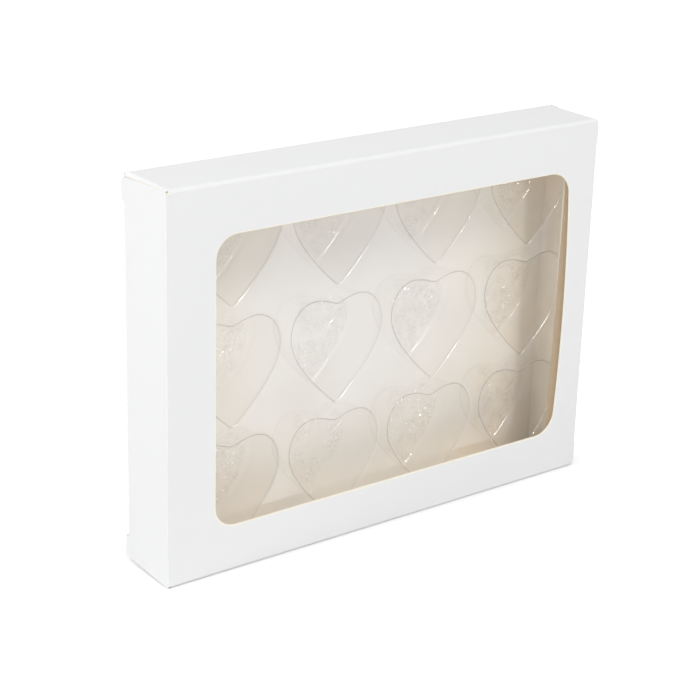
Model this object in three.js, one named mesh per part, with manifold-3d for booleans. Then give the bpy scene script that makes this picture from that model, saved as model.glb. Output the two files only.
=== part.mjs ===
// A white folding carton for sweets, standing on its long side, with a window in its front
// and a clear tray of heart-shaped cavities inside. Millimetres, +Z up, the front faces -Y,
// and the origin is at the middle of the rectangle that the carton stands on.
import * as THREE from 'three';
import { mergeVertices } from 'three/addons/utils/BufferGeometryUtils.js';
import Module from 'manifold-3d';

const wasm = await Module();
wasm.setup();

// The carton, outside.
const boxLength = 187.3;
const boxHeight = 139.7;
const boxDepth = 27;
const boardThickness = 0.45;
const creaseRadius = 0.7; // outside round of every folded edge

// The window, by the board that is left around it.
const windowLeft = 19.2;
const windowRight = 13.7;
const windowBottom = 17.3;
const windowTop = 18.4;
const windowRadius = 8;

// The film glued behind it.
const filmThickness = 0.15;
const filmBorder = 6; // glued width round the window
const filmRadius = 5;
const glueLine = 0.03; // thickness of every glued joint

// The seam that closes the sleeve.
const glueFlapWidth = 13;
const glueFlapEndSlope = 5; // how far each end of the flap runs in at its free edge
const glueFlapEndGap = 4; // from the end of the box to the flap's root

// The ends: a closure panel with its tuck flap, and two dust flaps.
const rawEdgeGap = 0.35; // from a closure's inside to the cut edge of the panel that it covers
const closureEndGap = 0.4; // above and below a closure panel, at its hinge
const closureEndSlope = 1.5; // how far each end of the panel runs in towards the tuck crease
const shoulderHeight = 8; // lock shoulder at each end of a tuck crease
const shoulderReach = 0.3; // how far a shoulder stands beyond the face that it covers
const shoulderRadius = 1.5;
const slitWidth = 0.3; // between a shoulder and the tuck flap
const tuckLength = 15;
const tuckRadius = 9;
const tuckEndSlope = 1.2; // how much narrower the tuck flap gets towards its free edge, each end
const tuckGap = 0.8; // from the tuck crease to the inside of the panel that it lies behind
const tuckLean = 5; // degrees that the tuck flap leans in from that panel
const dustSetback = 1; // from the end of the box to the dust flaps' creases
const dustLength = 16;
const dustHingeSlope = 7.9; // how far the edge beside the closure's crease runs in
const dustTuckSlope = 8.2; // the same on the other side, from the lock corner
const dustStep = 4.1; // how far the lock corner steps in to pass the tuck flap
const dustLockHeight = 7.4;
const dustStepHeight = 2;
const dustSideGap = 0.3;
const dustRadius = 1.5;

// The tray: a web with the cavities in it, a skirt behind the web and a cut flange.
const sheetThickness = 0.35;
const webSetback = 4.2; // from the outside of the front panel to the face of the web
const trayBackGap = 0.3; // from the flange to the tuck flap behind it
const traySlide = 0.8; // how far the tray can shift each way along the box
const trayEndGap = 0.3; // left between tray and dust flaps at the end of that shift
const trayFloorGap = 0.3;
const trayTopGap = 1;
const flangeWidth = 1.4;
const skirtDraft = 3.5; // degrees
const skirtRound = 1;
const trayCornerRadius = 6;

// The cavities: a heart with its point down, repeated as often as the web has room for it.
const columnGap = 5; // between neighbouring mouths
const rowGap = 5.9;
const webMargin = 2.5; // least web left beyond the outer mouths
const gridRise = 0.6; // the grid sits this much above the middle of the web
const heartWidth = 38.5;
const heartHeight = 37.7;
const notchDepth = 2.9;
const cavityDepth = 15;
const cavityDraft = 5; // degrees
const mouthRound = 0.8;
const floorRound = 2.4;
const roundTurns = [0, 45, 90]; // degrees, where the sheet's rounds have their edges
const heartPoints = 32;
const cornerSegments = 4;
const windowCornerSegments = 8;
const tuckCornerSegments = 6;

// Places that several pieces share.
const halfLength = boxLength / 2;
const halfDepth = boxDepth / 2;
const insideDepth = halfDepth - boardThickness;
const tuckCreaseDepth = insideDepth - tuckGap; // outside of the tuck crease
const tuckHingeDepth = tuckCreaseDepth - boardThickness; // its inner corner, where it turns
const seamHeight = boardThickness + glueLine; // underside of the glue flap
const dustCrease = halfLength - dustSetback;
const rawEdge = halfLength - boardThickness - rawEdgeGap;
const windowStart = -halfLength + windowLeft;
const windowEnd = halfLength - windowRight;
const windowHead = boxHeight - windowTop;

const axisX = new THREE.Vector3(1, 0, 0);
const axisY = new THREE.Vector3(0, 1, 0);
const axisZ = new THREE.Vector3(0, 0, 1);

const finish = (color, roughness, more = {}) =>
  new THREE.MeshStandardMaterial({ color, roughness, metalness: 0, ...more });
const board = () => finish(0xf4f4f2, 0.45);
const clear = (opacity) => finish(0xf2efe8, 0.08, { transparent: true, opacity });

const radians = THREE.MathUtils.degToRad;

// A closed body from rings of points, one ring after another, each with the same count.
// The first ring's face looks along the way that the rings come from.
function loft(rings, holeRings = []) {
  const positions = [];
  const indices = [];
  const wall = (loops) => {
    const starts = loops.map((loop) => {
      const start = positions.length / 3;
      loop.forEach((p) => positions.push(p.x, p.y, p.z));
      return { start, count: loop.length };
    });
    starts.slice(1).forEach(({ start: b, count }, before) => {
      const a = starts[before].start;
      for (let i = 0; i < count; i++) {
        const j = (i + 1) % count;
        indices.push(a + i, b + i, b + j, a + i, b + j, a + j);
      }
    });
    return [starts[0], starts.at(-1)];
  };
  const walls = [rings, ...holeRings].map(wall);
  const cap = (ring, holes, starts, flip) => {
    const ids = starts.flatMap(({ start, count }) =>
      Array.from({ length: count }, (_, i) => start + i));
    const flat = (loop) => loop.map((p) => new THREE.Vector2(p.x, p.y));
    for (const [a, b, c] of THREE.ShapeUtils.triangulateShape(flat(ring), holes.map(flat))) {
      indices.push(...(flip ? [ids[a], ids[c], ids[b]] : [ids[a], ids[b], ids[c]]));
    }
  };
  cap(rings[0], holeRings.map((h) => h[0]), walls.map(([first]) => first), false);
  cap(rings.at(-1), holeRings.map((h) => h.at(-1)), walls.map(([, last]) => last), true);
  const geometry = new THREE.BufferGeometry();
  geometry.setAttribute('position', new THREE.Float32BufferAttribute(positions, 3));
  geometry.setIndex(indices);
  return geometry;
}

// How far the outline of a panel draws in at a crease, at a depth behind its outer face. A
// mitred crease is rounded outside and cut at 45 degrees behind, so that two panels close a
// corner between them. A wrapped one is rounded about its inner corner, for a flap that
// starts there and folds further in.
const roundInset = (radius, depth) =>
  radius - Math.sqrt(radius ** 2 - Math.max(0, radius - depth) ** 2);
const creaseInset = {
  mitred: (depth) => Math.max(depth, roundInset(creaseRadius, depth)),
  wrapped: (depth) => roundInset(boardThickness, depth),
};

// A panel of board with its outer face on z = 0 and its outline drawn in x and y. Each crease
// is a line of the outline: x or y, its place, and the way into the panel.
function panelGeometry(outline, creases = [], hole = null) {
  const eighth = Math.PI / 8;
  const depths = [
    0,
    creaseRadius * (1 - Math.cos(eighth)),
    creaseRadius * (1 - Math.SQRT1_2),
    boardThickness,
  ];
  const ring = (loop, depth) => loop.map((corner) => {
    const moved = new THREE.Vector3(corner.x, corner.y, -depth);
    for (const { line, place, inward, kind = 'mitred' } of creases) {
      if (Math.abs(corner[line] - place) < 1e-6) moved[line] += inward * creaseInset[kind](depth);
    }
    return moved;
  });
  const rings = depths.map((depth) => ring(outline, depth));
  const holes = hole ? [[ring(hole, 0), ring(hole, boardThickness)]] : [];
  return loft(rings, holes);
}

// Puts a piece drawn in x and y on the face with the given origin and axes.
function onFace(mesh, origin, across, up) {
  const out = new THREE.Vector3().crossVectors(across, up);
  mesh.position.copy(origin);
  mesh.quaternion.setFromRotationMatrix(new THREE.Matrix4().makeBasis(across, up, out));
  return mesh;
}

function named(name, geometry, material) {
  const mesh = new THREE.Mesh(geometry, material);
  mesh.name = name;
  return mesh;
}

const at = (x, y, z) => new THREE.Vector3(x, y, z);
const point = (x, y) => new THREE.Vector2(x, y);
const negative = (axis) => axis.clone().negate();

const rectangle = (x0, y0, x1, y1) =>
  [point(x0, y0), point(x1, y0), point(x1, y1), point(x0, y1)];

// An outline whose corners are rounded, each by its own radius. Points go anticlockwise.
function rounded(corners, segments = cornerSegments) {
  const outline = [];
  corners.forEach(({ x, y, r = 0 }, i) => {
    if (r === 0) {
      outline.push(point(x, y));
      return;
    }
    const before = corners.at(i - 1);
    const after = corners[(i + 1) % corners.length];
    const corner = point(x, y);
    const toBefore = point(before.x - x, before.y - y).normalize();
    const toAfter = point(after.x - x, after.y - y).normalize();
    const half = Math.acos(toBefore.dot(toAfter)) / 2;
    const reach = r / Math.tan(half);
    const middle = toBefore.clone().add(toAfter).normalize().multiplyScalar(r / Math.sin(half));
    const centre = corner.clone().add(middle);
    const start = corner.clone().addScaledVector(toBefore, reach).sub(centre);
    const end = corner.clone().addScaledVector(toAfter, reach).sub(centre);
    const turn = Math.atan2(start.cross(end), start.dot(end));
    for (let k = 0; k <= segments; k++) {
      const spoke = start.clone().rotateAround(point(0, 0), (turn * k) / segments);
      outline.push(centre.clone().add(spoke));
    }
  });
  return outline;
}

function roundedRectangle(x0, y0, x1, y1, r, segments = cornerSegments) {
  return rounded([{ x: x0, y: y0, r }, { x: x1, y: y0, r }, { x: x1, y: y1, r }, { x: x0, y: y1, r }],
    segments);
}

// The four walls of the sleeve, its seam and the film.
function frontPanel() {
  const opening = roundedRectangle(windowStart, windowBottom, windowEnd, windowHead,
    windowRadius, windowCornerSegments).reverse();
  const outline = rectangle(-halfLength, 0, rawEdge, boxHeight);
  const creases = [
    { line: 'x', place: -halfLength, inward: 1 },
    { line: 'y', place: 0, inward: 1 },
    { line: 'y', place: boxHeight, inward: -1 },
  ];
  const panel = named('front_panel', panelGeometry(outline, creases, opening), board());
  return onFace(panel, at(0, -halfDepth, 0), axisX, axisZ);
}

function topPanel() {
  const outline = rectangle(-dustCrease, -halfDepth, dustCrease, halfDepth);
  const creases = [
    { line: 'x', place: -dustCrease, inward: 1 },
    { line: 'x', place: dustCrease, inward: -1 },
    { line: 'y', place: -halfDepth, inward: 1 },
    { line: 'y', place: halfDepth, inward: -1 },
  ];
  const panel = named('top_panel', panelGeometry(outline, creases), board());
  return onFace(panel, at(0, 0, boxHeight), axisX, axisY);
}

function backPanel() {
  const outline = rectangle(-halfLength, seamHeight, rawEdge, boxHeight);
  const creases = [
    { line: 'x', place: -halfLength, inward: 1 },
    { line: 'y', place: seamHeight, inward: 1 },
    { line: 'y', place: boxHeight, inward: -1 },
  ];
  const panel = named('back_panel', panelGeometry(outline, creases), board());
  return onFace(panel, at(0, halfDepth, 0), negative(axisX), axisZ);
}

function bottomPanel() {
  const outline = rectangle(-dustCrease, -halfDepth, dustCrease, halfDepth);
  const creases = [
    { line: 'x', place: -dustCrease, inward: 1 },
    { line: 'x', place: dustCrease, inward: -1 },
    { line: 'y', place: halfDepth, inward: -1 },
  ];
  const panel = named('bottom_panel', panelGeometry(outline, creases), board());
  return onFace(panel, at(0, 0, 0), axisX, negative(axisY));
}

function glueFlap() {
  const root = halfLength - glueFlapEndGap;
  const free = root - glueFlapEndSlope;
  const outline = [
    point(-root, -halfDepth),
    point(root, -halfDepth),
    point(free, -halfDepth + glueFlapWidth),
    point(-free, -halfDepth + glueFlapWidth),
  ];
  const creases = [{ line: 'y', place: -halfDepth, inward: 1 }];
  const flap = named('glue_flap', panelGeometry(outline, creases), board());
  return onFace(flap, at(0, 0, seamHeight), axisX, negative(axisY));
}

function windowFilm() {
  const outline = roundedRectangle(windowStart - filmBorder, windowBottom - filmBorder,
    windowEnd + filmBorder, windowHead + filmBorder, filmRadius);
  const film = new THREE.ExtrudeGeometry(new THREE.Shape(outline),
    { depth: filmThickness, bevelEnabled: false });
  film.translate(0, 0, -filmThickness);
  const sheet = named('window_film', film, clear(0.2));
  return onFace(sheet, at(0, -insideDepth + glueLine, 0), axisX, axisZ);
}

// One end of the carton, as it is on the left: the closure is creased to the front panel and
// its tuck flap slides behind the back panel. Half a turn about Z gives the other end.
function closurePanel(side) {
  const edge = -halfDepth - shoulderReach;
  const crease = -tuckCreaseDepth;
  const low = closureEndGap + closureEndSlope;
  const high = boxHeight - low;
  const outline = rounded([
    { x: halfDepth, y: closureEndGap },
    { x: halfDepth, y: boxHeight - closureEndGap },
    { x: edge, y: high, r: shoulderRadius },
    { x: edge, y: high - shoulderHeight },
    { x: crease, y: high - shoulderHeight },
    { x: crease, y: low + shoulderHeight },
    { x: edge, y: low + shoulderHeight },
    { x: edge, y: low, r: shoulderRadius },
  ]);
  const creases = [
    { line: 'x', place: halfDepth, inward: -1 },
    { line: 'x', place: crease, inward: 1, kind: 'wrapped' },
  ];
  const panel = named(`${side}_closure_panel`, panelGeometry(outline, creases), board());
  return onFace(panel, at(-halfLength, 0, 0), negative(axisY), axisZ);
}

// The flap starts at the inner corner of its crease, leaning in, and that corner is its hinge.
function tuckFlap(side) {
  const low = closureEndGap + closureEndSlope + shoulderHeight + slitWidth;
  const high = boxHeight - low;
  const free = boardThickness - tuckLength;
  const outline = rounded([
    { x: 0, y: low },
    { x: 0, y: high },
    { x: free, y: high - tuckEndSlope, r: tuckRadius },
    { x: free, y: low + tuckEndSlope, r: tuckRadius },
  ], tuckCornerSegments);
  const geometry = panelGeometry(outline).translate(0, 0, boardThickness);
  const flap = named(`${side}_tuck_flap`, geometry, board());
  const along = negative(axisX).applyAxisAngle(axisZ, -radians(tuckLean));
  return onFace(flap, at(-halfLength + boardThickness, tuckHingeDepth, 0), along, axisZ);
}

// Drawn hanging from its crease at y = 0, with the closure's crease on the right.
function dustFlap(side, level) {
  const hingeEdge = insideDepth - dustSideGap;
  const lockEdge = -insideDepth + dustSideGap;
  const step = lockEdge + dustStep;
  const outline = rounded([
    { x: hingeEdge, y: 0 },
    { x: lockEdge, y: 0 },
    { x: lockEdge, y: -dustLockHeight },
    { x: step, y: -dustLockHeight - dustStepHeight },
    { x: lockEdge + dustTuckSlope, y: -dustLength, r: dustRadius },
    { x: hingeEdge - dustHingeSlope, y: -dustLength, r: dustRadius },
  ]);
  const upper = level === 'upper';
  if (!upper) outline.forEach((p) => p.setY(-p.y));
  if (!upper) outline.reverse();
  const creases = [{ line: 'y', place: 0, inward: upper ? -1 : 1 }];
  const flap = named(`${side}_${level}_dust_flap`, panelGeometry(outline, creases), board());
  return onFace(flap, at(-dustCrease, 0, upper ? boxHeight : 0), negative(axisY), axisZ);
}

function cartonEnd(side) {
  const end = new THREE.Group();
  end.add(closurePanel(side), tuckFlap(side), dustFlap(side, 'upper'), dustFlap(side, 'lower'));
  return end;
}

function toSolid(geometry) {
  const merged = mergeVertices(geometry);
  return new wasm.Manifold(new wasm.Mesh({
    numProp: 3,
    vertProperties: new Float32Array(merged.attributes.position.array),
    triVerts: new Uint32Array(merged.index.array),
  }));
}

function fromSolid(solid) {
  const { vertProperties, triVerts } = solid.getMesh();
  const geometry = new THREE.BufferGeometry();
  geometry.setAttribute('position', new THREE.BufferAttribute(vertProperties, 3));
  geometry.setIndex(new THREE.BufferAttribute(triVerts, 1));
  return geometry;
}

// A heart with its point down, about the middle of its own height. The curves give its right
// half from the notch, over the lobe and down to the point.
function heart(width, height) {
  const scaleX = width / heartWidth;
  const scaleY = height / heartHeight;
  const half = width / 2;
  const top = height / 2;
  const notch = top - notchDepth * scaleY;
  const p = (x, y) => new THREE.Vector2(x, y);
  const lobeX = half * 0.5;
  const widest = top - height * 0.3;
  const side = new THREE.CurvePath();
  side.add(new THREE.CubicBezierCurve(p(0, notch), p(1.8 * scaleX, notch),
    p(lobeX * 0.45, top), p(lobeX, top)));
  side.add(new THREE.CubicBezierCurve(p(lobeX, top), p(half * 0.79, top),
    p(half, top - height * 0.13), p(half, widest)));
  side.add(new THREE.CubicBezierCurve(p(half, widest), p(half, top - height * 0.52),
    p(half * 0.5, -top + height * 0.22), p(1.2 * scaleX, -top + 0.6 * scaleY)));
  side.add(new THREE.QuadraticBezierCurve(p(1.2 * scaleX, -top + 0.6 * scaleY),
    p(0.6 * scaleX, -top), p(0, -top)));
  const right = side.getSpacedPoints(heartPoints / 2);
  const left = right.slice(1, -1).reverse().map((q) => p(-q.x, q.y));
  return [...right, ...left].reverse();
}

// The wall of a cavity as pairs of depth behind the web and distance in from the mouth,
// for a surface that lies the given distance outside the cavity.
function cavityProfile(offset) {
  const wallEnd = cavityDepth - floorRound;
  const lean = (depth) => Math.max(0, depth - mouthRound) * Math.tan(radians(cavityDraft));
  const plain = roundTurns.filter((degrees) => degrees % 90 === 0);
  const mouth = (offset > 0 ? plain : roundTurns).map((degrees) => {
    const r = mouthRound - offset;
    const t = radians(degrees);
    return [mouthRound - r * Math.cos(t), r * Math.sin(t) - mouthRound];
  });
  const floor = roundTurns.map((degrees) => {
    const r = floorRound + offset;
    const t = radians(degrees);
    return [wallEnd + r * Math.sin(t), lean(wallEnd) + floorRound - r * Math.cos(t)];
  });
  return [...mouth, ...floor];
}

function cavitySolid(x, y, offset, start) {
  const profile = cavityProfile(offset);
  const rings = [[start, profile[0][1]], ...profile].map(([depth, inset]) =>
    heart(heartWidth - 2 * inset, heartHeight - 2 * inset).map((q) => at(q.x + x, q.y + y, -depth)));
  return toSolid(loft(rings));
}

// The web with its skirt as a solid block, for a surface the given distance inside it.
function skirtSolid(length, height, depth, offset) {
  const slope = Math.tan(radians(skirtDraft));
  const ring = (level, inset) => roundedRectangle(
    -length / 2 + inset, -height / 2 + inset, length / 2 - inset, height / 2 - inset,
    trayCornerRadius - inset).map((q) => at(q.x, q.y, -level));
  const edge = roundTurns.map((degrees) => {
    const r = skirtRound - offset;
    const t = radians(degrees);
    return ring(skirtRound - r * Math.cos(t), skirtRound - r * Math.sin(t));
  });
  return toSolid(loft([...edge, ring(depth, offset - slope * (depth - skirtRound))]));
}

// The middles of as many pieces as fit along a length, about its own middle.
function spread(length, size, gap) {
  const count = Math.max(1, Math.floor((length + gap) / (size + gap)));
  return Array.from({ length: count }, (_, i) => (i - (count - 1) / 2) * (size + gap));
}

function heartTray() {
  const length = 2 * (dustCrease - boardThickness - trayEndGap - traySlide);
  const bottom = seamHeight + boardThickness + trayFloorGap;
  const top = boxHeight - boardThickness - trayTopGap;
  const height = top - bottom;
  const webFace = -halfDepth + webSetback;
  const tuckTip = tuckHingeDepth - (tuckLength - boardThickness) * Math.sin(radians(tuckLean));
  const depth = tuckTip - trayBackGap - webFace;
  const rim = flangeWidth + Math.tan(radians(skirtDraft)) * (depth - skirtRound);
  const webLength = length - 2 * rim;
  const webHeight = height - 2 * rim;
  const through = 1; // how far a cutting body runs past the sheet

  let tray = skirtSolid(webLength, webHeight, depth, 0);
  const flange = roundedRectangle(-length / 2, -height / 2, length / 2, height / 2,
    trayCornerRadius + rim);
  tray = tray.add(toSolid(loft([depth - sheetThickness, depth]
    .map((level) => flange.map((q) => at(q.x, q.y, -level))))));
  tray = tray.subtract(skirtSolid(webLength, webHeight, depth + through, sheetThickness));

  const columns = spread(webLength - 2 * webMargin, heartWidth, columnGap);
  const rows = spread(webHeight - 2 * (webMargin + gridRise), heartHeight, rowGap);
  const places = rows.flatMap((y) => columns.map((x) => [x, y + gridRise]));
  for (const [x, y] of places) {
    tray = tray.add(cavitySolid(x, y, sheetThickness, sheetThickness / 2));
  }
  for (const [x, y] of places) {
    tray = tray.subtract(cavitySolid(x, y, 0, -through));
  }
  const sheet = named('heart_tray', fromSolid(tray), clear(0.35));
  return onFace(sheet, at(0, webFace, (top + bottom) / 2), axisX, axisZ);
}

const candyBox = new THREE.Group();
const rightEnd = cartonEnd('right');
rightEnd.rotation.z = Math.PI;
candyBox.add(
  frontPanel(), topPanel(), backPanel(), bottomPanel(), glueFlap(), windowFilm(),
  cartonEnd('left'), rightEnd, heartTray(),
);

export default candyBox;
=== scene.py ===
# A white window carton for sweets and the clear heart tray inside it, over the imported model.
import math

import bmesh
import bpy
from mathutils import Matrix, Vector


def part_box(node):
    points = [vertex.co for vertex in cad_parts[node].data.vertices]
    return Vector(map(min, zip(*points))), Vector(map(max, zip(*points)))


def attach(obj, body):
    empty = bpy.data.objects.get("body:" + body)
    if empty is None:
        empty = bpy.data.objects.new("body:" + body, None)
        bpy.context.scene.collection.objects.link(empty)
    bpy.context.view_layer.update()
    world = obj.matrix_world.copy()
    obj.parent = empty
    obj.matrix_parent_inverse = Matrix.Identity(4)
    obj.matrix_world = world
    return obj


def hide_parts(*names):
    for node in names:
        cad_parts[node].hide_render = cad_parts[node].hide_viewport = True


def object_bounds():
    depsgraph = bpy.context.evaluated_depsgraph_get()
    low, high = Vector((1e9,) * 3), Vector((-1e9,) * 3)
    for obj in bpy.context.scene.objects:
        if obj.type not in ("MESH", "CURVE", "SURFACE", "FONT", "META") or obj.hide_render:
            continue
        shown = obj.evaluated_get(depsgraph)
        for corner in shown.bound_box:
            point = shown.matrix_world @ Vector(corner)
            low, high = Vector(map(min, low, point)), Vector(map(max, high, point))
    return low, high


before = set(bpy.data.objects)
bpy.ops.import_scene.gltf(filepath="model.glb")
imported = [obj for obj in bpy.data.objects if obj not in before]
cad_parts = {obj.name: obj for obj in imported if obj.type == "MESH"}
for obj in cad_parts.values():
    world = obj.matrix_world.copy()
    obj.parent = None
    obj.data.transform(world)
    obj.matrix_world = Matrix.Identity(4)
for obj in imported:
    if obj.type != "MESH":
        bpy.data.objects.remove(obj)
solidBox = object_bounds()
print("frame loaded with", len(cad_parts), "solids")

mm = 0.001
low, high = solidBox
height = (high.z - low.z) / mm
halfLength = (high.x - low.x) / mm / 2


# Shader helpers: sockets that take part in sums, and one way to add any node.
class Link:
    def __init__(self, shader, socket):
        self.shader = shader
        self.socket = socket

    def math(self, operation, first, second=None):
        inputs = {0: first} if second is None else {0: first, 1: second}
        return self.shader.add("ShaderNodeMath", {"operation": operation}, inputs)

    def __add__(self, other):
        return self.math("ADD", self, other)

    def __sub__(self, other):
        return self.math("SUBTRACT", self, other)

    def __rsub__(self, other):
        return self.math("SUBTRACT", other, self)

    def __mul__(self, other):
        return self.math("MULTIPLY", self, other)

    def __truediv__(self, other):
        return self.math("DIVIDE", self, other)

    def __rtruediv__(self, other):
        return self.math("DIVIDE", other, self)

    def __pow__(self, other):
        return self.math("POWER", self, other)

    def fraction(self):
        return self.math("FRACT", self)

    def absolute(self):
        return self.math("ABSOLUTE", self)

    def clipped(self):
        return self.math("MINIMUM", self.math("MAXIMUM", self, 0.0), 1.0)

    # Rises from 0 at start to 1 a span further on.
    def ramped(self, start, span):
        return ((self - start) / span).clipped()

    __radd__ = __add__
    __rmul__ = __mul__


class Shader:
    def __init__(self, owner):
        owner.use_nodes = True
        self.tree = owner.node_tree
        self.tree.nodes.clear()

    def find(self, sockets, key):
        if isinstance(key, int):
            return sockets[key]
        return next((s for s in sockets if s.identifier == key), None) or sockets[key]

    # Adds a node of a type: its settings first, then the values or links of its sockets.
    def add(self, kind, settings=None, inputs=None, output=0):
        node = self.tree.nodes.new(kind)
        for name, value in (settings or {}).items():
            if name == "stops":
                while len(node.color_ramp.elements) < len(value):
                    node.color_ramp.elements.new(0.5)
                for element, (place, tone) in zip(node.color_ramp.elements, value):
                    element.position = place
                    element.color = (tone, tone, tone, 1)
            else:
                setattr(node, name, value)
        for key, value in (inputs or {}).items():
            socket = self.find(node.inputs, key)
            if isinstance(value, Link):
                self.tree.links.new(value.socket, socket)
            else:
                socket.default_value = value
        return Link(self, self.find(node.outputs, output)) if node.outputs else node

    def mixed(self, factor, first, second):
        return self.add("ShaderNodeMix", {"data_type": "RGBA"},
                        {"Factor_Float": factor, "A_Color": first, "B_Color": second},
                        "Result_Color")

    def place(self, stretch=(1, 1, 1)):
        coords = self.add("ShaderNodeTexCoord", output="Object")
        return self.add("ShaderNodeVectorMath", {"operation": "MULTIPLY"}, {0: coords, 1: stretch})

    # How far along an axis, in millimetres.
    def along(self, axis):
        return self.add("ShaderNodeSeparateXYZ", None, {0: self.place()}, axis) / mm

    def noise(self, place, scale, detail, roughness, distortion=0.0):
        return self.add("ShaderNodeTexNoise", None, {
            "Vector": place, "Scale": scale, "Detail": detail,
            "Roughness": roughness, "Distortion": distortion})

    def bump(self, height, distance, strength=1.0, under=None):
        inputs = {"Height": height, "Distance": distance, "Strength": strength}
        if under:
            inputs["Normal"] = under
        return self.add("ShaderNodeBump", None, inputs)

    def close(self, surface):
        self.add("ShaderNodeOutputMaterial", None, {"Surface": surface})


def newMaterial(name):
    material = bpy.data.materials.new(name)
    return material, Shader(material)


# In the finishes, a noise is given by its scale, detail and roughness, a lie by how much the
# noise is stretched along each axis, and a bump by its depth in metres and its strength.

# The coated white face of the board: even, with the faint lie of its fibres in the gloss.
coatedFace = {
    "white": (0.868, 0.87, 0.873, 1), "shade": (0.85, 0.852, 0.857, 1),
    "roughness": 0.45, "uneven": 0.1, "mirror": 0.3,
    "cloud": (28, 3, 0.55), "wave": (16, 1, 0.4), "waveBump": (0.0006, 0.25),
    "fibre": (2600, 2, 0.6), "fibreLie": (1, 1, 0.35), "fibreBump": (0.000012, 0.5),
}


def makeCoatedBoard():
    material, s = newMaterial("coatedBoard")
    cloud = s.noise(s.place(), *coatedFace["cloud"])
    fibre = s.noise(s.place(coatedFace["fibreLie"]), *coatedFace["fibre"])
    wave = s.noise(s.place(), *coatedFace["wave"])
    lie = s.bump(wave, *coatedFace["waveBump"])
    grain = s.bump(fibre, *coatedFace["fibreBump"], lie)
    s.close(s.add("ShaderNodeBsdfPrincipled", None, {
        "Base Color": s.mixed(cloud, coatedFace["white"], coatedFace["shade"]),
        "Roughness": coatedFace["roughness"] + coatedFace["uneven"] * fibre,
        "Specular IOR Level": coatedFace["mirror"],
        "Normal": grain}))
    return material


# The uncoated face that looks into the carton: full of fine fibres, with a painted warm shade
# toward the ends and the long folds.
bareFace = {
    "middle": (0.905, 0.89, 0.868, 1), "edge": (0.965, 0.855, 0.7, 1),
    "fleck": (0.83, 0.8, 0.755, 1), "roughness": 0.8, "mirror": 0.25,
    "endwise": 1.0, "upright": 0.55,  # how much painted warm shade an edge of the box gets, each way
    "cloud": (38, 2, 0.5), "cloudFrom": 0.35, "cloudSpan": 1 / 3, "cloudShare": 0.6,
    "fibre": (1400, 3, 0.7), "fibreLie": (1, 1, 0.2), "fibreShare": 0.15,
    "fibreBump": (0.00003, 0.6),
}


def makeBareBoard():
    material, s = newMaterial("bareBoard")
    cloud = s.noise(s.place(), *bareFace["cloud"])
    cloud = cloud.ramped(bareFace["cloudFrom"], bareFace["cloudSpan"])
    fibre = s.noise(s.place(bareFace["fibreLie"]), *bareFace["fibre"])
    flecked = bareFace["cloudShare"] * cloud + bareFace["fibreShare"] * fibre
    x, z = s.along("X") / halfLength, s.along("Z") / (height / 2) - 1
    # Painted warm shade: toward the ends and the long folds the board turns to its edge tone.
    paintedWarmShade = (bareFace["endwise"] * x * x + bareFace["upright"] * z * z).clipped()
    board = s.mixed(paintedWarmShade, bareFace["middle"], bareFace["edge"])
    s.close(s.add("ShaderNodeBsdfPrincipled", None, {
        "Base Color": s.mixed(flecked, board, bareFace["fleck"]),
        "Roughness": bareFace["roughness"],
        "Specular IOR Level": bareFace["mirror"],
        "Normal": s.bump(fibre, *bareFace["fibreBump"])}))
    return material


# The cut edge, where the board's cream middle ply shows between its faces.
cutEdge = {
    "light": (0.985, 0.945, 0.84, 1), "dark": (0.95, 0.9, 0.78, 1),
    "roughness": 0.9, "mirror": 0.2, "ply": (3200, 3, 0.7), "plyBump": (0.00004, 0.8),
}


def makeCutEdge():
    material, s = newMaterial("cutEdge")
    ply = s.noise(s.place(), *cutEdge["ply"])
    s.close(s.add("ShaderNodeBsdfPrincipled", None, {
        "Base Color": s.mixed(ply, cutEdge["light"], cutEdge["dark"]),
        "Roughness": cutEdge["roughness"],
        "Specular IOR Level": cutEdge["mirror"],
        "Normal": s.bump(ply, *cutEdge["plyBump"])}))
    return material


# Clear sheet: it lets light through, and mirrors more the more it is seen edge on. The steep
# rounds of the formed tray also hold light back, because the way through them is long. Tint is
# what passes square on and deep what passes where the sheet holds light; hold and power say how
# much and how late that sets in, ior and rise how much is mirrored square on and edge on.
clearFilm = {
    "tint": (0.995, 0.994, 0.99, 1), "deep": (0.7, 0.68, 0.64, 1),
    "hold": 0.4, "power": 4, "ior": 1.4, "rise": 1.0, "roughness": 0.04,
    "slack": (14, 2, 0.4), "slackLie": (1, 1, 0.6), "slackBump": (0.0012, 0.5),
}
formedSheet = {"wave": (45, 2, 0.5, 0.6), "waveBump": (0.0008, 0.5)}
clearTray = {
    **formedSheet, "tint": (0.995, 0.993, 0.988, 1), "deep": (0.45, 0.4, 0.34, 1),
    "hold": 0.03, "power": 4, "ior": 1.2, "rise": 0.15, "roughness": 0.06,
}
clearRound = {
    **formedSheet, "tint": (0.99, 0.987, 0.98, 1), "deep": (0.45, 0.4, 0.34, 1),
    "hold": 0.1, "power": 4, "ior": 1.4, "rise": 0.4, "roughness": 0.06,
}
clearMouth = {
    **formedSheet, "tint": (0.98, 0.975, 0.96, 1), "deep": (0.13, 0.11, 0.095, 1),
    "hold": 0.95, "power": 2.7, "ior": 1.9, "rise": 1.0, "roughness": 0.09,
}
# The bead rings also carry lines, a painted dark line along the cavity's rim as painted shade.
clearBead = {**clearMouth, "paintedDarkLines": 0.11}

# The flat web between the cavities gets a painted sheen in cloudy patches.
clearWeb = {**clearTray, "paintedSheenShare": 0.24, "cloud": (34, 2, 0.5), "cloudFrom": 0.4, "cloudSpan": 0.25}

# A dark golden band painted on the film by its right end, as painted shade over the gap there:
# from how far right, how it leans, over how much it sets in, its tone and how much of that shows.
paintedShadeBand = {"left": 77.1, "lean": 0.012, "soft": 0.4, "tone": (0.41, 0.275, 0.13, 1),
            "share": 0.85, "roughness": 0.6, "mirror": 0.2}
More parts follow.
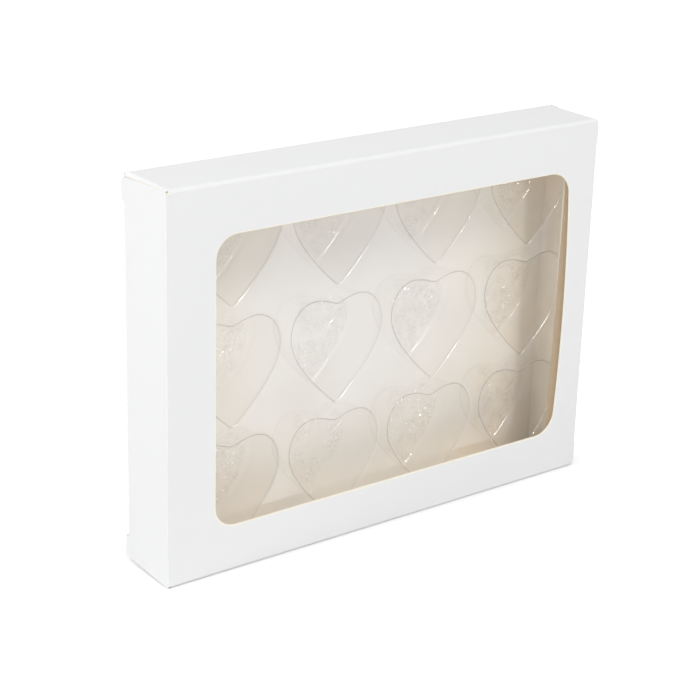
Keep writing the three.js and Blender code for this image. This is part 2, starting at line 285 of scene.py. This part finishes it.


# Each of the sheet's two faces mirrors by its slant, and sparks, the painted glints and sheen,
# add to that. Lines are painted dark lines, and glued is where the painted shade band shows.
def closeClear(s, values, normal, paintedShine=0.0, paintedDarkLines=0.0, paintedBandShare=None):
    slant = s.add("ShaderNodeLayerWeight", None, {"Blend": 0.5, "Normal": normal}, "Facing")
    square = ((values["ior"] - 1) / (values["ior"] + 1)) ** 2
    face = square + values["rise"] * (1 - square) * slant ** 5
    held = values["hold"] * slant ** values["power"] + paintedDarkLines
    mirrored = ((2 * face / (1 + face) + paintedShine) * (1 - held)).clipped()
    through = s.add("ShaderNodeBsdfTransparent", None, {"Color": values["tint"]})
    deep = s.add("ShaderNodeBsdfTransparent", None, {"Color": values["deep"]})
    through = s.add("ShaderNodeMixShader", None, {0: held.clipped(), 1: through, 2: deep})
    # The glue sheet is a dark golden painted shade, not a real glue line.
    if paintedBandShare:
        glue = s.add("ShaderNodeBsdfPrincipled", None, {
            "Base Color": paintedShadeBand["tone"], "Roughness": paintedShadeBand["roughness"],
            "Specular IOR Level": paintedShadeBand["mirror"]})
        through = s.add("ShaderNodeMixShader", None, {0: paintedBandShare, 1: through, 2: glue})
    gloss = s.add("ShaderNodeBsdfPrincipled", None, {
        "Base Color": (1, 1, 1, 1), "Metallic": 1.0, "Roughness": values["roughness"],
        "Normal": normal})
    s.close(s.add("ShaderNodeMixShader", None, {0: mirrored, 1: through, 2: gloss}))


def makeClearFilm():
    material, s = newMaterial("clearFilm")
    slack = s.noise(s.place(clearFilm["slackLie"]), *clearFilm["slack"])
    # The painted shade band on the film, by its right end.
    reach = s.along("X") - paintedShadeBand["lean"] * s.along("Z")
    paintedBandShare = reach.ramped(paintedShadeBand["left"], paintedShadeBand["soft"]) * paintedShadeBand["share"]
    closeClear(s, clearFilm, s.bump(slack, *clearFilm["slackBump"]), paintedBandShare=paintedBandShare)
    return material


def makeClearSheet(name, values):
    material, s = newMaterial(name)
    wave = s.noise(s.place(), *values["wave"])
    paintedSheen = 0.0
    # A painted sheen: more mirror in cloudy patches of the web.
    if "paintedSheenShare" in values:
        cloud = s.noise(s.place(), *values["cloud"])
        paintedSheen = cloud.ramped(values["cloudFrom"], values["cloudSpan"]) * values["paintedSheenShare"]
    closeClear(s, values, s.bump(wave, *values["waveBump"]), paintedSheen, values.get("paintedDarkLines", 0.0))
    return material


boardLooks = [makeCoatedBoard(), makeBareBoard(), makeCutEdge()]
coated, bare, cut = range(3)
filmLook = makeClearFilm()
print("board and film materials made")


# Outlines are lists of points in millimetres, anticlockwise.
def same(a, b):
    return abs(a - b) < 0.001


def rounded(corners, steps=8):
    outline = []
    for i, (x, y, r) in enumerate(corners):
        corner = Vector((x, y))
        if r == 0:
            outline.append(corner)
            continue
        before = (Vector(corners[i - 1][:2]) - corner).normalized()
        after = (Vector(corners[(i + 1) % len(corners)][:2]) - corner).normalized()
        half = math.acos(max(-1, min(1, before.dot(after)))) / 2
        centre = corner + (before + after).normalized() * (r / math.sin(half))
        start = corner + before * (r / math.tan(half)) - centre
        end = corner + after * (r / math.tan(half)) - centre
        turn = math.atan2(start.x * end.y - start.y * end.x, start.dot(end))
        for k in range(steps + 1):
            c, d = math.cos(turn * k / steps), math.sin(turn * k / steps)
            outline.append(centre + Vector((start.x * c - start.y * d, start.x * d + start.y * c)))
    return outline


def roundedRectangle(x0, y0, x1, y1, r, steps=8):
    return rounded([(x0, y0, r), (x1, y0, r), (x1, y1, r), (x0, y1, r)], steps)


def finishMesh(name, bm, looks, smooth=False):
    bmesh.ops.recalc_face_normals(bm, faces=bm.faces)
    mesh = bpy.data.meshes.new(name)
    bm.to_mesh(mesh)
    bm.free()
    for look in looks:
        mesh.materials.append(look)
    for face in mesh.polygons:
        face.use_smooth = smooth
    piece = bpy.data.objects.new(name, mesh)
    bpy.context.scene.collection.objects.link(piece)
    return piece


def dress(piece, node, body):
    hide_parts(node)
    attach(piece, body)


# A clear sheet throws next to no shadow.
def letLightThrough(piece):
    piece.visible_shadow = False
    piece.visible_diffuse = False


# The board and its folds.
carton = {
    "board": 0.45, "creaseRound": {"folded": 1.5, "hinged": 0.35}, "creaseSteps": 8,
    "nearer": 0.3,  # how much nearer the end a dust flap's crease is than in the solid
    "cornerCut": (1.7, 0.9),  # where three folds meet, along x and along y
    "seam": 0.48, "glueRoot": 89.65, "glueFree": 84.65, "glueWidth": 13.0,
}

halfDepth = -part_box("front_panel")[0].y / mm
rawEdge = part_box("front_panel")[1].x / mm
dustCrease = -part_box("left_upper_dust_flap")[0].x / mm + carton["nearer"]


# A folded crease is soft, and a hinged one, at an end that opens, is tight. Both meet the next
# panel in a mitre. A wrapped one goes round the next panel's edge.
def creaseInset(kind, depth):
    r = carton["creaseRound"].get(kind, carton["board"])
    drawn = r - math.sqrt(max(0, r * r - max(0, r - depth) ** 2))
    return drawn if kind == "wrapped" else max(depth, drawn)


def boardLevels(kinds):
    steps = carton["creaseSteps"]
    levels = {0.0, carton["board"]}
    for kind in kinds:
        r = carton["creaseRound"].get(kind, carton["board"])
        turn = 90 if kind == "wrapped" else 45
        levels |= {r * (1 - math.cos(math.radians(turn * k / steps))) for k in range(1, steps)}
    return sorted(levels)


# A panel drawn flat, with its coated face at 0, then stood in its place. A crease is a side of
# the outline, given by its axis, its place and the way into the panel.
def boardPanel(name, outline, creases, place, hole=None):
    bm = bmesh.new()
    levels = boardLevels({kind for _, _, _, kind in creases})

    def moved(point, depth):
        spot = [point[0], point[1], -depth]
        for axis, line, inward, kind in creases:
            if same(point[axis], line):
                spot[axis] += inward * creaseInset(kind, depth)
        return place @ (Vector(spot) * mm)

    def folded(p, q):
        return any(same(p[axis], line) and same(q[axis], line) for axis, line, _, _ in creases)

    def wall(loop, depths):
        rings = [[bm.verts.new(moved(p, d)) for p in loop] for d in depths]
        for a, b in zip(rings, rings[1:]):
            for i, p in enumerate(loop):
                j = (i + 1) % len(loop)
                face = bm.faces.new((a[i], b[i], b[j], a[j]))
                face.material_index = coated if folded(p, loop[j]) else cut
        return rings[0], rings[-1]

    walls = [wall(outline, levels)]
    if hole:
        rings = [[bm.verts.new(moved(p, d)) for p in loop] for d, loop in hole]
        for a, b in zip(rings, rings[1:]):
            for i in range(len(a)):
                j = (i + 1) % len(a)
                bm.faces.new((a[i], b[i], b[j], a[j])).material_index = cut
        walls.append((rings[0], rings[-1]))
    for side, look in ((0, coated), (1, bare)):
        edges = []
        for pair in walls:
            ring = pair[side]
            edges += [bm.edges.get((ring[i], ring[(i + 1) % len(ring)])) for i in range(len(ring))]
        made = bmesh.ops.triangle_fill(bm, edges=edges, use_beauty=True, use_dissolve=False)
        for face in made["geom"]:
            if isinstance(face, bmesh.types.BMFace):
                face.material_index = look
    return finishMesh(name, bm, boardLooks)


# Takes the small cut off some corners of an outline.
def cutCorners(corners, which):
    long, short = carton["cornerCut"]
    outline = []
    for i, (x, y) in enumerate(corners):
        if i not in which:
            outline.append(Vector((x, y)))
            continue
        for other in (corners[i - 1], corners[(i + 1) % len(corners)]):
            step = Vector(other) - Vector((x, y))
            reach = long if abs(step.x) > abs(step.y) else short
            outline.append(Vector((x, y)) + step.normalized() * reach)
    return outline


def stand(origin, across, up):
    across, up = Vector(across), Vector(up)
    out = across.cross(up)
    matrix = Matrix((across, up, out)).transposed().to_4x4()
    return Matrix.Translation(Vector(origin) * mm) @ matrix


# The window, by the board left around it. Its right side bows out with the slack strip there.
# The cut runs out a little toward the front: shares of the board's depth and of the bevel.
window = {
    "left": 19.2, "right": 13.7, "bottom": 17.3, "top": 18.4, "round": 8.0, "bow": 2.0,
    "bevel": 0.55, "cut": ((0, 1), (0.3, 0.25), (1, 0)), "cornerSteps": 12, "sideSteps": 24,
}
windowSides = (-halfLength + window["left"], window["bottom"],
               halfLength - window["right"], height - window["top"])


def windowOutline(grown):
    x0, z0, x1, z1 = windowSides
    x0, z0, x1, z1 = x0 - grown, z0 - grown, x1 + grown, z1 + grown
    r, steps = window["round"] + grown, window["sideSteps"]
    outline = []
    for p in roundedRectangle(x0, z0, x1, z1, r, window["cornerSteps"]):
        if outline and same(p.x, x1) and same(outline[-1].x, x1):
            start = outline[-1]
            outline += [start.lerp(p, k / steps) for k in range(1, steps)]
        outline.append(p)
    middle, reach = (z0 + z1) / 2, (z1 - z0) / 2
    for p in outline:
        share = max(0, (p.x - x1 + r) / r)
        p.x += window["bow"] * share * (1 - ((p.y - middle) / reach) ** 2)
    return outline


def makeSleeve():
    h, d, seam = height, halfDepth, carton["seam"]
    lying = [(-dustCrease, -d), (dustCrease, -d), (dustCrease, d), (-dustCrease, d)]
    dustFolds = [(0, -dustCrease, 1, "folded"), (0, dustCrease, -1, "folded")]
    front = boardPanel(
        "front_board",
        cutCorners([(-halfLength, 0), (rawEdge, 0), (rawEdge, h), (-halfLength, h)], (0, 3)),
        [(0, -halfLength, 1, "hinged"), (1, 0, 1, "folded"), (1, h, -1, "folded")],
        stand((0, -d, 0), (1, 0, 0), (0, 0, 1)),
        [(share * carton["board"], windowOutline(window["bevel"] * grown))
         for share, grown in window["cut"]])
    dress(front, "front_panel", "carton")
    top = boardPanel("top_board", lying,
                     dustFolds + [(1, -d, 1, "folded"), (1, d, -1, "folded")],
                     stand((0, 0, h), (1, 0, 0), (0, 1, 0)))
    dress(top, "top_panel", "carton")
    back = boardPanel(
        "back_board", [(-halfLength, seam), (rawEdge, seam), (rawEdge, h), (-halfLength, h)],
        [(0, -halfLength, 1, "hinged"), (1, seam, 1, "folded"), (1, h, -1, "folded")],
        stand((0, d, 0), (-1, 0, 0), (0, 0, 1)))
    dress(back, "back_panel", "carton")
    bottom = boardPanel("bottom_board", lying, dustFolds + [(1, d, -1, "folded")],
                        stand((0, 0, 0), (1, 0, 0), (0, -1, 0)))
    dress(bottom, "bottom_panel", "carton")
    root, free, reach = carton["glueRoot"], carton["glueFree"], carton["glueWidth"] - d
    glue = boardPanel("glue_tab", [(-root, -d), (root, -d), (free, reach), (-free, reach)],
                      [(1, -d, 1, "folded")], stand((0, 0, seam), (1, 0, 0), (0, -1, 0)))
    dress(glue, "glue_flap", "carton")


# The two ends. What is drawn is the left one; half a turn makes the right.
ends = {
    "endGap": 0.2, "endSlope": 1.5,
    "shoulder": 8.0, "shoulderRound": 1.5, "reach": {"left": 0.3, "right": -0.5},
    "slit": 0.3, "tuck": 13.6, "tuckRound": 9.0, "tuckSlope": 1.2, "tuckCrease": 12.25,
    "lean": 5.0,  # degrees
    "dust": 16.0, "hingeSlope": 7.9, "tuckSide": 8.2, "lock": 7.4, "lockStep": 4.1,
    "stepHeight": 2.0, "sideGap": 0.3, "dustRound": 1.5,
}


def makeEnd(side):
    e, h, t = ends, height, carton["board"]
    turned = Matrix.Rotation(math.pi if side == "right" else 0, 4, "Z")
    edge = -halfDepth - e["reach"][side]
    crease = -e["tuckCrease"]
    bottom = e["endGap"] + e["endSlope"]
    top = h - bottom
    closure = boardPanel(f"{side}_closure_board", rounded([
        (halfDepth, e["endGap"], 0), (halfDepth, h - e["endGap"], 0),
        (edge, top, e["shoulderRound"]), (edge, top - e["shoulder"], 0),
        (crease, top - e["shoulder"], 0), (crease, bottom + e["shoulder"], 0),
        (edge, bottom + e["shoulder"], 0), (edge, bottom, e["shoulderRound"])]),
        [(0, halfDepth, -1, "hinged"), (0, crease, 1, "wrapped")],
        turned @ stand((-halfLength, 0, 0), (0, -1, 0), (0, 0, 1)))
    dress(closure, f"{side}_closure_panel", f"{side}_closure")

    tuckLow = bottom + e["shoulder"] + e["slit"]
    tuckHigh = h - tuckLow
    free = t - e["tuck"]
    lean = Matrix.Rotation(math.radians(-e["lean"]), 3, "Z") @ Vector((-1, 0, 0))
    tuck = boardPanel(f"{side}_tuck_board", rounded([
        (0, tuckLow, 0), (0, tuckHigh, 0), (free, tuckHigh - e["tuckSlope"], e["tuckRound"]),
        (free, tuckLow + e["tuckSlope"], e["tuckRound"])]), [],
        turned @ stand((-halfLength + t, e["tuckCrease"] - t, 0), lean, (0, 0, 1))
        @ Matrix.Translation((0, 0, t * mm)))
    dress(tuck, f"{side}_tuck_flap", f"{side}_tuck")

    hingeEdge = halfDepth - t - e["sideGap"]
    lockEdge = -hingeEdge
    for level in ("upper", "lower"):
        outline = rounded([
            (hingeEdge, 0, 0), (lockEdge, 0, 0), (lockEdge, -e["lock"], 0),
            (lockEdge + e["lockStep"], -e["lock"] - e["stepHeight"], 0),
            (lockEdge + e["tuckSide"], -e["dust"], e["dustRound"]),
            (hingeEdge - e["hingeSlope"], -e["dust"], e["dustRound"])])
        if level == "lower":
            outline = [Vector((p.x, -p.y)) for p in reversed(outline)]
        flap = boardPanel(f"{side}_{level}_dust_board", outline,
                          [(1, 0, -1 if level == "upper" else 1, "folded")],
                          turned @ stand((-dustCrease, 0, h if level == "upper" else 0),
                                         (0, -1, 0), (0, 0, 1)))
        dress(flap, f"{side}_{level}_dust_flap", f"{side}_{level}_dust")


makeSleeve()
makeEnd("left")
makeEnd("right")
print("board panels folded")


film = {"cornerRound": 5.0}


def makeFilm():
    lowest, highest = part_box("window_film")
    y = (lowest.y + highest.y) / 2
    outline = roundedRectangle(lowest.x / mm, lowest.z / mm, highest.x / mm, highest.z / mm,
                               film["cornerRound"])
    bm = bmesh.new()
    bm.faces.new([bm.verts.new((p.x * mm, y, p.y * mm)) for p in outline])
    piece = finishMesh("film", bm, [filmLook])
    dress(piece, "window_film", "carton")
    letLightThrough(piece)


makeFilm()


# The heart outline: from the notch over one lobe and down to the point, then mirrored. The flat
# of the notch and the tip are in millimetres, and what else steers the curve is a share of the
# size.
heart = {
    "width": 38.5, "height": 38.3, "notch": 2.2, "points": 96, "curveSteps": 60,
    "notchFlat": 1.8, "lobeRise": 0.45, "widest": 0.3, "shoulder": (0.79, 0.13),
    "flank": (0.52, 0.5, 0.22), "tip": (1.2, 0.6),
}


def bezier(controls, t):
    points = [Vector(c) for c in controls]
    while len(points) > 1:
        points = [p.lerp(q, t) for p, q in zip(points, points[1:])]
    return points[0]


def heartOutline(inset, count):
    w, h = heart["width"] - 2 * inset, heart["height"] - 2 * inset
    sx, sy = w / heart["width"], h / heart["height"]
    half, top = w / 2, h / 2
    notch, lobe = top - heart["notch"] * sy, w / 4
    out, down = heart["shoulder"]
    fall, inward, lift = heart["flank"]
    tipHalf, tipRise = heart["tip"][0] * sx, heart["tip"][1] * sy
    widest, tip = (half, top - heart["widest"] * h), (tipHalf, tipRise - top)
    curves = [
        [(0, notch), (heart["notchFlat"] * sx, notch), (lobe * heart["lobeRise"], top),
         (lobe, top)],
        [(lobe, top), (half * out, top), (half, top - down * h), widest],
        [widest, (half, top - fall * h), (half * inward, lift * h - top), tip],
        [tip, (tipHalf / 2, -top), (0, -top)],
    ]
    steps = heart["curveSteps"]
    fine = [bezier(c, k / steps) for c in curves for k in range(steps)] + [Vector((0, -top))]
    run = [0.0]
    for p, q in zip(fine, fine[1:]):
        run.append(run[-1] + (q - p).length)
    right, spot = [], 0
    for k in range(count // 2 + 1):
        want = run[-1] * k / (count // 2)
        while spot < len(run) - 2 and run[spot + 1] < want:
            spot += 1
        gap = run[spot + 1] - run[spot]
        right.append(fine[spot].lerp(fine[spot + 1], (want - run[spot]) / gap if gap else 0))
    left = [Vector((-p.x, p.y)) for p in reversed(right[1:-1])]
    return right + left


# The tray, drawn as the face of its sheet: web, cavities, skirt and flange.
tray = {
    "columns": 4, "rows": 3, "columnPitch": 43.5, "rowPitch": 43.6, "rise": 0.9,
    "depth": 15.0, "draft": 6.0, "wallSteps": 4,
    "mouthRound": 0.8, "mouthSteps": 6, "bead": (3, 4), "floorRound": 2.4, "floorSteps": 8,
    "skirtDraft": 3.5, "skirtRound": 1.0, "skirtRoundSteps": 5, "skirtSteps": 4,
    "flange": 1.4, "backGap": 0.1, "lip": 0.6,
    "cornerRound": 6.0, "cornerSteps": 10,
    "support": 0.25,  # a ring beside each round, which keeps the flat next to it flat
}


# The floors of the cavities carry a fine crackled emboss, with painted glints on its ridges and a
# painted shadow beside them. It starts this far from the middle of a heart. A few straight painted
# highlight strokes run up to the right lobe: how far each is from the middle, where it starts and
# ends, and how wide it is.
emboss = {
    "cell": 1.4, "line": 0.15, "depth": 0.00015, "paintedSparkle": 0.36, "dark": 0.22,
    "start": -9.0, "fade": 3.0, "patch": (220, 2, 0.5), "patchFrom": 0.34, "patchSpan": 0.25,
    "wander": 150.0, "wanderReach": 0.005, "shadowSide": (0.0004, 0.0, -0.0003),
    "turn": 36.0, "stray": 5.0, "strayNoise": (16, 0, 0.5), "paintedStrokeShine": 0.85, "taper": 1.5,
    "drawn": ((-1.8, 6.5, 17.5, 0.42), (-3.1, 5.5, 9.5, 0.3), (0.2, 10.0, 14.0, 0.26)),
}


def makeEmbossedFloor():
    material, s = newMaterial("embossedFloor")

    def ridges(place):
        edges = s.add("ShaderNodeTexVoronoi", {"feature": "DISTANCE_TO_EDGE"},
                      {"Vector": place, "Scale": 1 / (emboss["cell"] * mm)})
        return s.add("ShaderNodeValToRGB", {"stops": [(0.0, 1.0), (emboss["line"], 0.0)]},
                     {"Fac": edges})

    wander = s.add("ShaderNodeTexNoise", None,
                   {"Vector": s.place(), "Scale": emboss["wander"]}, "Color")
    moved = s.add("ShaderNodeVectorMath", {"operation": "MULTIPLY_ADD"},
                  {0: wander, 1: (emboss["wanderReach"],) * 3, 2: s.place()})
    beside = s.add("ShaderNodeVectorMath", {"operation": "ADD"},
                   {0: moved, 1: emboss["shadowSide"]})
    # shadow is the same ridges set a little aside, for a painted shadow beside each ridge.
    crackle, shadow = ridges(moved), ridges(beside)

    # From the middle of each heart: u to the right and v upward.
    u = s.along("X") / tray["columnPitch"] - (tray["columns"] % 2) / 2
    u = (u.fraction() - 0.5) * tray["columnPitch"]
    middleRow = (height / 2 + tray["rise"]) / tray["rowPitch"]
    v = s.along("Z") / tray["rowPitch"] - middleRow + 0.5
    v = (v.fraction() - 0.5) * tray["rowPitch"]
    pressed = u.ramped(emboss["start"], emboss["fade"])
    c, d = math.cos(math.radians(emboss["turn"])), math.sin(math.radians(emboss["turn"]))
    stray = (s.noise(s.place(), *emboss["strayNoise"]) - 0.5) * emboss["stray"]
    along = c * u + d * v
    # drawn are painted highlight strokes: they add mirror only, with no relief.
    drawn = 0.0
    for offset, start, end, width in emboss["drawn"]:
        near = (1 - (c * v - d * u - offset + stray).absolute() / width).clipped()
        fadeIn = along.ramped(start, emboss["taper"])
        fadeOut = ((end - along) / emboss["taper"]).clipped()
        drawn = near * fadeIn * fadeOut + drawn
    patchy = s.noise(s.place(), *emboss["patch"])
    patchy = patchy.ramped(emboss["patchFrom"], emboss["patchSpan"]) * pressed
    # The bump is real; the sparkle and strokes are painted glints, the dark ridges painted shadow.
    closeClear(s, clearTray, s.bump(crackle * pressed, emboss["depth"]),
               emboss["paintedSparkle"] * crackle * patchy + emboss["paintedStrokeShine"] * drawn,
               emboss["dark"] * shadow * patchy)
    return material


trayLooks = {
    "web": makeClearSheet("clearWeb", clearWeb),
    "floor": makeEmbossedFloor(),
    "mouth": makeClearSheet("clearMouth", clearMouth),
    "round": makeClearSheet("clearRound", clearRound),
    "bead": makeClearSheet("clearBead", clearBead),
    "wall": makeClearSheet("clearSheet", clearTray),
}
print("tray materials made")


# The rings of a cavity from its mouth to its floor: how deep each is and how far it is set in.
def cavityRings():
    t = tray
    slope = math.tan(math.radians(t["draft"]))
    wallEnd = t["depth"] - t["floorRound"]
    rings = [(0.0, -t["mouthRound"] - t["support"])]
    for k in range(t["mouthSteps"] + 1):
        a = math.radians(90 * k / t["mouthSteps"])
        rings.append((t["mouthRound"] * (1 - math.cos(a)), t["mouthRound"] * (math.sin(a) - 1)))
    lean = slope * (wallEnd - t["mouthRound"])
    for k in range(1, t["wallSteps"]):
        share = k / t["wallSteps"]
        rings.append((t["mouthRound"] + (wallEnd - t["mouthRound"]) * share, lean * share))
    for k in range(t["floorSteps"] + 1):
        a = math.radians(90 * k / t["floorSteps"])
        rings.append((wallEnd + t["floorRound"] * math.sin(a),
                      lean + t["floorRound"] * (1 - math.cos(a))))
    rings.append((t["depth"], lean + t["floorRound"] + t["support"]))
    return rings


def makeTray():
    t = tray
    lowest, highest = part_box("heart_tray")
    face = lowest.y / mm
    middle = Vector(((lowest.x + highest.x) / 2, (lowest.z + highest.z) / 2)) / mm
    halfX, halfZ = (highest.x - lowest.x) / mm / 2, (highest.z - lowest.z) / mm / 2
    deep = (highest.y - lowest.y) / mm - t["backGap"]
    slope = math.tan(math.radians(t["skirtDraft"]))
    rim = t["flange"] + slope * (deep - t["skirtRound"])
    bm = bmesh.new()
    looks = list(trayLooks)

    def ring(outline, depth, spot=Vector((0, 0))):
        return [bm.verts.new(((p.x + spot.x) * mm, (face + depth) * mm, (p.y + spot.y) * mm))
                for p in outline]

    def join(a, b, look):
        for i in range(len(a)):
            j = (i + 1) % len(a)
            bm.faces.new((a[i], a[j], b[j], b[i])).material_index = looks.index(look)

    def loop(verts):
        return [bm.edges.get((verts[i], verts[(i + 1) % len(verts)])) for i in range(len(verts))]

    def trayOutline(inset, radius):
        return roundedRectangle(middle.x - halfX + inset, middle.y - halfZ + inset,
                                middle.x + halfX - inset, middle.y + halfZ - inset, radius,
                                t["cornerSteps"])

    profile = cavityRings()
    roundStart = t["mouthSteps"] + 1 + t["wallSteps"]
    ringLooks = ["bead" if k in t["bead"] else "mouth" if k <= t["mouthSteps"]
                 else "round" if k >= roundStart else "wall" for k in range(len(profile) - 1)]
    mouths, floors = [], []
    for row in range(t["rows"]):
        for column in range(t["columns"]):
            spot = middle + Vector(((column - (t["columns"] - 1) / 2) * t["columnPitch"],
                                    ((t["rows"] - 1) / 2 - row) * t["rowPitch"] + t["rise"]))
            rings = [ring(heartOutline(inset, heart["points"]), depth, spot)
                     for depth, inset in profile]
            for a, b, look in zip(rings, rings[1:], ringLooks):
                join(a, b, look)
            mouths += loop(rings[0])
            floors.append(bm.faces.new(rings[-1]))

    # The skirt turns back from the web's edge, and ends in the flange.
    r, steps = t["skirtRound"], t["skirtRoundSteps"]
    edge = [(0.0, rim + r + t["support"])]
    for k in range(steps + 1):
        a = math.radians(90 * k / steps)
        edge.append((r * (1 - math.cos(a)), rim + r * (1 - math.sin(a))))
    run = deep - t["lip"] - r
    for k in range(1, t["skirtSteps"] + 1):
        share = k / t["skirtSteps"]
        edge.append((r + run * share, rim - slope * run * share))
    edge += [(deep - t["lip"] / 3, t["flange"] - t["lip"] / 4),
             (deep, t["flange"] - t["lip"] * 5 / 6), (deep, 0.0)]
    skirt = [ring(trayOutline(inset, t["cornerRound"] + rim - inset), depth)
             for depth, inset in edge]
    for a, b in zip(skirt, skirt[1:]):
        join(a, b, "web")
    bmesh.ops.triangle_fill(bm, edges=mouths + loop(skirt[0]), use_beauty=True)
    for floor in floors:
        floor.material_index = looks.index("floor")
    piece = finishMesh("clear_tray", bm, trayLooks.values(), smooth=True)
    dress(piece, "heart_tray", "tray")
    letLightThrough(piece)


makeTray()
print("film and tray made")


# The floor, the light and the view. Near the object the floor's glow fades, a painted contact
# shadow over its own shadow: contact is how near the ground a thing has to be to darken it, and
# contactPower how soon that fades. The soft lamp lights the inside evenly, and the front and near
# ones draw the glints.
studio = {
    "floorSize": 12.0, "floorTone": 0.93, "floorRoughness": 0.9, "floorGlow": 0.42,
    "floorDrop": 0.00002, "contact": 0.02, "contactPower": 1.5, "contactSamples": 8,
    "ambient": 0.46,
}
lamps = {
    "soft": {"place": (0.7, -1.6, 2.0), "size": 1.8, "power": 9.0},
    "front": {"place": (-0.1, -1.6, 2.0), "size": 0.75, "power": 11.3},
    "near": {"place": (-0.18, -1.6, 0.68), "size": 0.22, "power": 3.3},
    "side": {"place": (-1.3, 0.15, 0.95), "size": 0.5, "power": 10.0},
}


def makeFloor():
    bpy.ops.mesh.primitive_plane_add(size=studio["floorSize"],
                                     location=(0, 0, -studio["floorDrop"]))
    ground = bpy.context.object
    ground.name = "ground"
    material, s = newMaterial("paleGround")
    seen = s.add("ShaderNodeLightPath", output="Is Camera Ray")
    # openSky dims the glow near the object, which paints the contact shadow.
    openSky = s.add("ShaderNodeAmbientOcclusion", {"samples": studio["contactSamples"]},
                    {"Distance": studio["contact"]}, "AO") ** studio["contactPower"]
    tone = studio["floorTone"]
    s.close(s.add("ShaderNodeBsdfPrincipled", None, {
        "Base Color": (tone, tone, tone, 1), "Roughness": studio["floorRoughness"],
        "Specular IOR Level": 0.0,
        "Emission Color": s.mixed(openSky, (0, 0, 0, 1), (1, 1, 1, 1)),
        "Emission Strength": seen * studio["floorGlow"]}))
    ground.data.materials.append(material)


def makeLight():
    world = bpy.data.worlds.new("studio")
    bpy.context.scene.world = world
    s = Shader(world)
    cameraRay, glossyRay, clearRay = (s.add("ShaderNodeLightPath", output=f"Is {kind} Ray")
                                      for kind in ("Camera", "Glossy", "Transmission"))
    seen = (cameraRay + glossyRay + clearRay).clipped()
    strength = studio["ambient"] + (1 - studio["ambient"]) * seen
    sky = s.add("ShaderNodeBackground", None, {"Color": (1, 1, 1, 1), "Strength": strength})
    s.add("ShaderNodeOutputWorld", None, {"Surface": sky})
    for name, values in lamps.items():
        light = bpy.data.lights.new(name, "AREA")
        light.shape = "DISK"
        light.size = values["size"]
        light.energy = values["power"]
        lamp = bpy.data.objects.new(name, light)
        bpy.context.scene.collection.objects.link(lamp)
        lamp.location = values["place"]
        aim = Vector((0, 0, height / 2 * mm)) - Vector(values["place"])
        lamp.rotation_euler = aim.to_track_quat("-Z", "Y").to_euler()


camera = {"place": (-0.3896, -0.4966, 0.30165), "azimuth": -37.47, "elevation": 20.71,
          "roll": 1.71, "lens": 96.4, "sensor": 36}


def makeCamera():
    data = bpy.data.cameras.new("view")
    data.lens = camera["lens"]
    data.sensor_width = camera["sensor"]
    a, e, r = (math.radians(camera[k]) for k in ("azimuth", "elevation", "roll"))
    back = Vector((math.sin(a) * math.cos(e), -math.cos(a) * math.cos(e), math.sin(e)))
    right = (-back).cross(Vector((0, 0, 1))).normalized()
    up = right.cross(-back)
    across = right * math.cos(r) + up * math.sin(r)
    upward = up * math.cos(r) - right * math.sin(r)
    turn = Matrix((across, upward, back)).transposed()
    view = bpy.data.objects.new("view", data)
    bpy.context.scene.collection.objects.link(view)
    view.matrix_world = Matrix.Translation(camera["place"]) @ turn.to_4x4()
    bpy.context.scene.camera = view


makeFloor()
makeLight()
makeCamera()
bpy.context.scene.view_settings.view_transform = "Standard"
print("floor, light and camera set")
